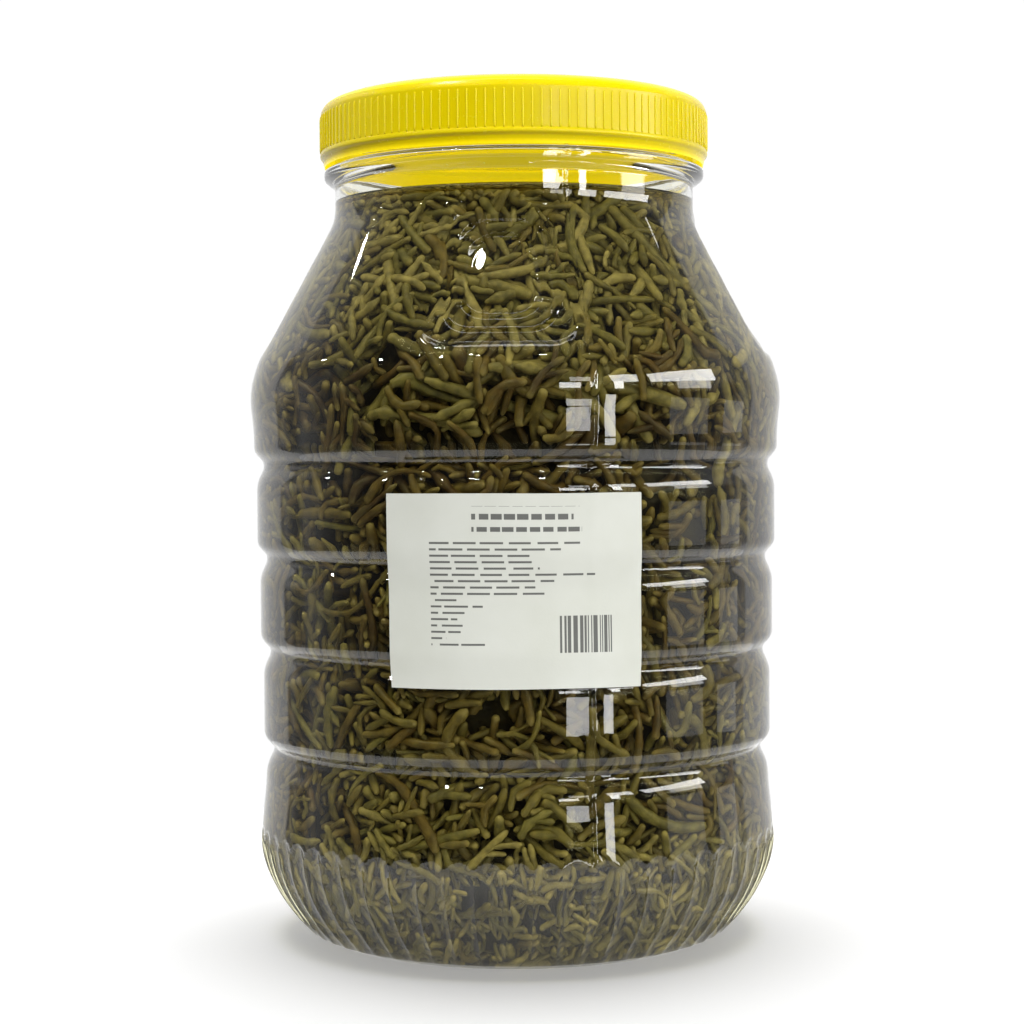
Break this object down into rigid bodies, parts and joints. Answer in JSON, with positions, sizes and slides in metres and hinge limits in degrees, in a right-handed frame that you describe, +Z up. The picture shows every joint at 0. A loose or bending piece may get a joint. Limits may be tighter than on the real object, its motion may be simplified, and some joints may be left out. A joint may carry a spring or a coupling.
{
  "type": "jar of preserved samphire",
  "caption": "Large clear plastic jar with a ribbed yellow screw cap, a blank white paper label and a dense filling of samphire stems in brine.",
  "frame": {"origin": "middle of the jar's base, on the surface that it stands on", "axes": "+Z up along the jar's axis, -Y out of the front, where the label is"},
  "size_m": [0.181, 0.181, 0.283],
  "materials": {
    "clear_plastic": "gloss",
    "yellow_plastic": "gloss",
    "liner": "matte",
    "label_paper": "matte",
    "brine": "gloss",
    "samphire": "satin"
  },
  "bodies": {
    "jar": {"jar": "clear_plastic", "label": "label_paper", "brine": "brine", "samphire": "samphire"},
    "seal": {"seal": "liner"},
    "cap": {"cap": "yellow_plastic"}
  },
  "joints": [
    {"name": "cap_rise", "type": "slide", "parent": "jar", "child": "seal", "axis": [0, 0, 1], "range_m": [0, 0.0071]},
    {"name": "cap_turn", "type": "hinge", "parent": "seal", "child": "cap", "pos_m": [0, 0, 0.26], "axis": [0, 0, 1], "range_deg": [0, 400]}
  ],
  "couplings": [
    {"joint": "cap_rise", "follows": "cap_turn", "m_per_rad": 0.0010106}
  ]
}
